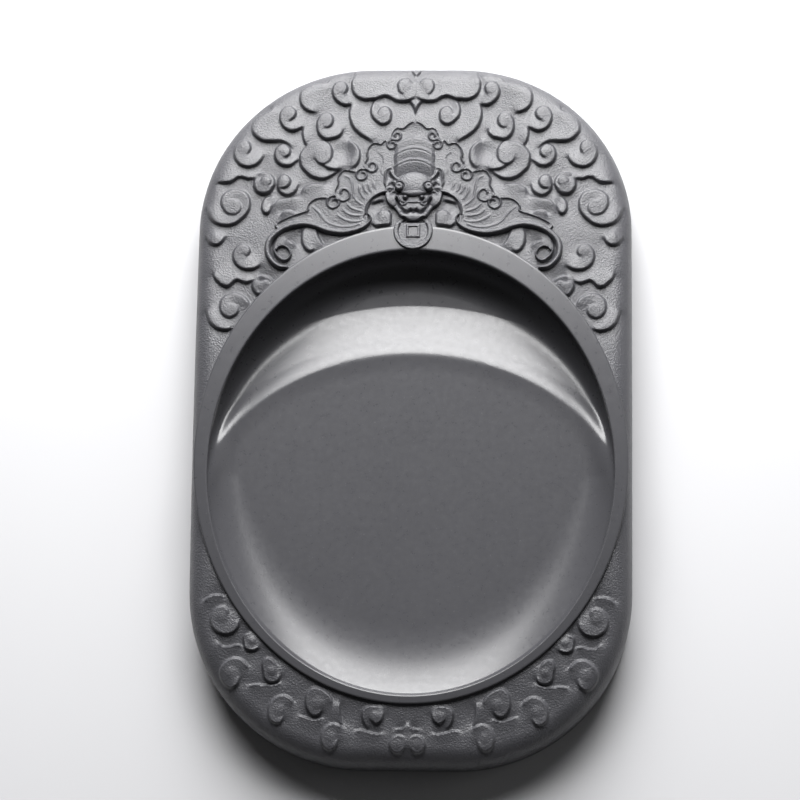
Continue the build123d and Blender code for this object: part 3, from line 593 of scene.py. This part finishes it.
def path_distance(x, y, path, widths):
    """How far places are outside a drawn stroke that changes in width."""
    distance = np.full(x.shape, 1e9)
    for (px, py), width in zip(path, widths):
        distance = np.minimum(distance, np.hypot(x - px, y - py) - width / 2)
    return distance


def raise_piece(name, points, distance, height, nodes, spacing=0.16, mirrored=False, edge=0.4):
    """A part raised inside its edge: its top follows a height, and its edge rolls down under the clouds."""
    low, high = points.min(0) - 1.2, points.max(0) + 1.2
    size = high - low
    bm = bmesh.new()
    columns, rows = (int(math.ceil(s / spacing)) for s in size)
    bmesh.ops.create_grid(bm, x_segments=columns, y_segments=rows, size=0.5)
    bmesh.ops.scale(bm, vec=(size[0], size[1], 1), verts=bm.verts)
    bmesh.ops.translate(bm, vec=((low[0] + high[0]) / 2, (low[1] + high[1]) / 2, 0), verts=bm.verts)
    flat = np.array([v.co for v in bm.verts])
    x, y = flat[:, 0], flat[:, 1]
    away = distance(x, y)
    dropped = away > 0.3
    bmesh.ops.delete(bm, geom=[v for v, gone in zip(bm.verts[:], dropped) if gone], context="VERTS")
    x, y, away = x[~dropped], y[~dropped], away[~dropped]
    roll = np.clip(1 + away / edge, 0, 1)
    z = dome(x, y) + height(x, y, away) * np.sqrt(1 - roll**2) - np.clip(away + 0.12, 0, 1) * 2 - 0.2 * roll
    for v, cx, cy, cz in zip(bm.verts, x, y, z):
        v.co = (-cx if mirrored else cx, cy, cz)
    rim = [e for e in bm.edges if e.is_boundary]
    walls = bmesh.ops.extrude_edge_only(bm, edges=rim)["geom"]
    for v in walls:
        if isinstance(v, bmesh.types.BMVert):
            v.co.z = 17.0
    bmesh.ops.holes_fill(bm, edges=[e for e in bm.edges if e.is_boundary], sides=0)
    finish_piece(bm, name, carved_slate, nodes)


# The wings: a thin web of skin, dished between the cord along its edge and the arm, with the fingers standing
# on it. Both are left standing on the sunk ground between the clouds.
wing_root = [(-39.5, 51.6), (-36, 52.9), (-33, 53.4), (-30.1, 53.4), (-27.1, 52), (-24.2, 50.9),
             (-20, 50.4), (-16, 51.4), (-13.2, 53), (-13.6, 57.5), (-12.6, 60.4), (-11.2, 62.2),
             (-8, 63), (-3, 64), (-3, 78.5)]
edge_line = smooth_line(sum(wing_edges, []) + [(-40.4, 52.8)], 0.3)
wing_place = np.vstack([[(-6.5, 78.8)], edge_line, wing_root])
wing_curls = [smooth_line(points, 0.12) for points in curls[2:]]


def wing_distance(x, y):
    """How far places are outside the wing, its curls counted in."""
    away = polygon_distance(x, y, wing_place) - 0.3
    for run in wing_curls:
        away = np.minimum(away, path_distance(x, y, run, np.full(len(run), 0.75)))
    return away


def wing_height(x, y, away):
    """The wing's top: dished from its middle to its edge, with the cords and the fingers on it."""
    return 1.45 + bat.at(x, y) + 0.35 * np.exp(-np.abs(away) / 1.2) * np.clip((-x - 6) / 3, 0, 1)


for side, mirrored in (("left", False), ("right", True)):
    nodes = ["bat_wing_" + side]
    raise_piece(side + "_wing", wing_place, wing_distance, wing_height, nodes, mirrored=mirrored)

# The arms that carry the wings: round cords, the thickest of the bat. One runs from the head to a curl, and
# one from the curl along the pool's lip to the tail, which rolls up.
upper_arm = smooth_line([
    (-8, 63), (-9, 62.9), (-10.5, 62.3), (-12.2, 61.1), (-13.4, 59.6), (-13.9, 57.8), (-13.9, 56.2),
], 0.15)
lower_arm = smooth_line([
    (-14, 54.7), (-14.5, 55.2), (-14.3, 55.9), (-13.5, 56.2), (-12.7, 55.6), (-12.5, 54.4),
    (-13.5, 52.9), (-15.2, 51.8), (-17.5, 51), (-20.1, 50.6), (-22.8, 50.8), (-25.6, 51.5),
    (-28.3, 52.6), (-31, 53.3), (-34.1, 53.2), (-37.3, 52.3), (-39.9, 50.7), (-41.8, 48.6),
    (-42.4, 46.2), (-42, 43.8), (-41, 42.2), (-39.8, 41), (-38.4, 40.3), (-36.8, 40.1),
], 0.15)
tail = smooth_line([
    (-40.4, 46.6), (-40.4, 45.4), (-39.7, 44), (-38.4, 42.7), (-37.1, 42.3), (-36, 43), (-35.6, 44.3),
    (-36.2, 45.7), (-37.5, 46.6), (-39, 46.5), (-39.8, 45.6),
], 0.15)
arm_run = np.vstack([upper_arm, lower_arm, tail])
lower_share = np.linspace(0, 1, len(lower_arm))
arm_widths = np.concatenate([
    np.linspace(1.3, 1.2, len(upper_arm)),
    np.interp(lower_share, [0, 0.06, 0.14, 0.3, 0.8, 1], [0.7, 0.9, 1.3, 2.0, 2.2, 1.6]),
    np.interp(np.linspace(0, 1, len(tail)), [0, 0.2, 1], [0.6, 1.2, 0.9]),
])


def arm_distance(x, y):
    """How far places are outside the arm."""
    return path_distance(x, y, arm_run, arm_widths)


def arm_height(x, y, away):
    """The arm's top: level, and rounded off by its broad edge."""
    return np.full(x.shape, 2.45)


for side, mirrored in (("left", False), ("right", True)):
    nodes = ["bat_arm_" + side]
    raise_piece(side + "_arm", arm_run, arm_distance, arm_height, nodes, 0.13, mirrored, edge=0.85)

# The body, seen from above its back: a stack of rolls that climbs from a dished crest to the back of the
# head. It is cut higher than the wings, and blends down into them at its sides.
body_outline = crest_edge + [
    (-7.6, 79), (-8.2, 77.8), (-7.6, 76.5), (-7, 74), (-6.9, 71.9), (-6.6, 70), (-6, 68), (-5, 66.5),
]
body_place = np.array(body_outline + [(-x, y) for x, y in body_outline[:0:-1]])
body_curls = [smooth_line(points, 0.12) * [side, 1] for points in curls[:2] for side in (-1, 1)]


def body_distance(x, y):
    """How far places are outside the body, its curls counted in."""
    away = polygon_distance(x, y, body_place) - 0.3
    for run in body_curls:
        away = np.minimum(away, path_distance(x, y, run, np.full(len(run), 0.75)))
    return away


def mound(x, y, cx, cy, rx, ry, power):
    """A rounded mound: 1 over its middle and 0 at its oval edge."""
    return np.clip(1 - ((x - cx) / rx) ** 2 - ((y - cy) / ry) ** 2, 0, 1) ** power


def body_height(x, y, away):
    """The body's top: the dished crest, and three rolls that each start in a step and then fall away."""
    across, crest = np.abs(x), 1.35
    height = crest - 0.35 * mound(across, y, 0, 81.5, 5, 3, 1.0)
    for top, lift, fall in ((80.0, 0.8, 0.07), (77.2, 1.15, 0.13), (73.4, 1.8, 0.18)):
        below = top - 0.07 * across**2 - y
        start = np.clip((below + 0.2) / 0.9, 0, 1)
        roll = lift * np.sqrt(1 - (1 - start) ** 2) - fall * np.clip(below - 0.6, 0, 4) ** 1.3
        roll = roll - 0.12 * np.exp(-(((below - 1.2) / 0.2) ** 2)) * (top < 77.5)
        height = np.where(below > -0.2, np.maximum(height, crest + roll), height)
    share = np.clip((7.2 - across) / 2.6, 0, 1)
    side = share * share * (3 - 2 * share)
    height = np.where(y < 77.5, 0.9 + (height - 0.9) * side, height)
    return height + bat.at(x, y)


raise_piece("bat_body", body_place, body_distance, body_height, ["bat_body"])

# The head, the highest part of the carving, bent down over the coin and seen from the front: a domed brow,
# round eyes, ears, a broad muzzle, teeth and a wavy jaw.
head_outline = [
    (0, 69.4), (-2.6, 68.9), (-4.2, 67.8), (-5, 68.4), (-5.6, 69.6), (-6.2, 70.6), (-7, 70.9),
    (-8.1, 70.4), (-8.8, 69.4), (-9, 68.2), (-8.8, 66.9), (-9, 65.7), (-8.6, 64.4), (-8.5, 62.2),
    (-8.3, 61), (-7.9, 59.8), (-7.2, 58.9), (-6.4, 58.3), (-5.6, 57.7), (-5, 56.8), (-4.4, 55.8),
    (-3.7, 55), (-2.7, 54.9), (-2.1, 54.4), (-1.2, 53.8),
]
head_outline = head_outline + [(0, 53.6)] + [(-x, y) for x, y in head_outline[:0:-1]]
head_place = smooth_line(head_outline + head_outline[:1], 0.3)


def head_distance(x, y):
    """How far places are outside the head."""
    return polygon_distance(x, y, head_place)


def head_height(x, y, away):
    """The head's top, all its features added up."""
    across = np.abs(x)
    height = 1.9 + bat.at(x, y)
    height = height + 1.7 * mound(across, y, 0, 65.0, 4.95, 3.85, 0.35)
    height = height + 0.8 * mound(across, y, 0, 61.0, 5.4, 1.9, 0.4)
    height = height + 0.6 * mound(across, y, 0, 58.2, 3.3, 1.7, 0.4)
    height = height + 0.55 * mound(across, y, 6.6, 60.3, 2.2, 2.2, 0.6)
    height = height + 1.0 * mound(across, y, 0, 55.2, 4.8, 1.6, 0.5)
    height = height + 0.5 * mound(across, y, 3.9, 57.2, 1.6, 1.6, 0.6)
    height = height - 0.35 * mound(across, y, 7.2, 67.4, 1.1, 2.2, 1.0)
    height = height + 0.8 * mound(across, y, 2.45, 61.0, 0.65, 0.6, 0.6)
    eye = np.hypot(across - 4.3, y - 64.2)
    eye_radius = 1.2
    ball = 3.3 + 0.8 * np.sqrt(np.clip(1 - (eye / eye_radius) ** 2, 0, 1))
    socket = 0.6 * np.exp(-(((eye - eye_radius - 0.15) / 0.2) ** 2))
    return np.where(eye < eye_radius, ball - 0.5 * np.exp(-((eye / 0.4) ** 2)), height - socket)


raise_piece("bat_head", head_place, head_distance, head_height, ["bat_head"], 0.12)

# The coin that the bat holds under its jaw, over the pool's lip: a flat disc with a raised edge, a square
# hole and no marks on it, cut from the same stone.
coin_radius, coin_y = 5.9, 50.8
around = np.linspace(0, 2 * math.pi, 120, endpoint=False)
coin_place = np.stack([coin_radius * np.cos(around), coin_y + coin_radius * np.sin(around)], 1)


def coin_distance(x, y):
    """How far places are outside the coin."""
    return np.hypot(x, y - coin_y) - coin_radius


def coin_height(x, y, away):
    """The coin's top: a broad raised ring, a flat field and a bordered square hole; it dips under the jaw."""
    out = np.hypot(x, y - coin_y)
    square = np.maximum(np.abs(x), np.abs(y - coin_y))
    height = 1.9 + 0.7 * np.clip((out - 4.2) / 0.3, 0, 1)
    height = height + 0.4 * np.clip((2.05 - square) / 0.25, 0, 1)
    height = height - 0.9 * np.clip((1.4 - square) / 0.3, 0, 1)
    return height - 1.4 * np.clip((y - 53.2) / 0.5, 0, 1)


raise_piece("coin", coin_place, coin_distance, coin_height, ["coin"], 0.13, edge=0.5)


# The floor: a plain pale sheet of paper that the stone lies on. It is the stage, not a part of the stone, and
# its dull surface gives a soft, even ground.
bm = bmesh.new()
bmesh.ops.create_grid(bm, x_segments=1, y_segments=1, size=3.0)
mesh = bpy.data.meshes.new("floor")
bm.to_mesh(mesh)
bm.free()
floor = bpy.data.objects.new("floor", mesh)
bpy.context.scene.collection.objects.link(floor)
paper = bpy.data.materials.new("pale paper")
paper.use_nodes = True
paper.node_tree.nodes["Principled BSDF"].inputs["Base Color"].default_value = linear("#b8b8ba")
paper.node_tree.nodes["Principled BSDF"].inputs["Roughness"].default_value = 0.6
mesh.materials.append(paper)

# The light: a broad soft box beyond the top of the stone, so that the carving throws its shade down the
# face, a low narrow one under it that skims the edges, and a weak one on the right.
for name, place, size, power in (
    ("top box", (0.0, 0.635, 0.575), (0.68, 0.60), 23.0),
    ("low box", (0.03, 0.48, 0.14), (0.36, 0.08), 2.0),
    ("right box", (0.8, 0.1, 0.45), (0.4, 0.8), 0.5),
):
    lamp = bpy.data.lights.new(name, "AREA")
    lamp.shape = "RECTANGLE"
    lamp.size, lamp.size_y = size
    lamp.energy = power
    holder = bpy.data.objects.new(name, lamp)
    aim = Vector(place).to_track_quat("Z", "Y").to_matrix().to_4x4()
    holder.matrix_world = Matrix.Translation(place) @ aim
    bpy.context.scene.collection.objects.link(holder)
world = bpy.data.worlds.new("studio")
world.use_nodes = True
world.node_tree.nodes["Background"].inputs["Color"].default_value = linear("#ffffff")
world.node_tree.nodes["Background"].inputs["Strength"].default_value = 0.05
bpy.context.scene.world = world

# The camera: straight above the stone's face but for a lean of about eleven degrees towards its foot, and
# with a long lens, so that the stone's sides stay nearly parallel.
camera = bpy.data.objects.new("camera", bpy.data.cameras.new("camera"))
camera.data.lens, camera.data.sensor_width = 132.94, 36.0
camera.data.shift_x, camera.data.shift_y = -0.01428, 0.00635
lean = Matrix.Rotation(0.04935, 4, "Y") @ Matrix.Rotation(0.19076, 4, "X") @ Matrix.Rotation(0.012725, 4, "Z")
camera.matrix_world = Matrix.Translation((0, 0, 0.020)) @ lean @ Matrix.Translation((0, 0, 0.850))
bpy.context.scene.collection.objects.link(camera)
bpy.context.scene.camera = camera
bpy.context.scene.view_settings.view_transform = "Standard"
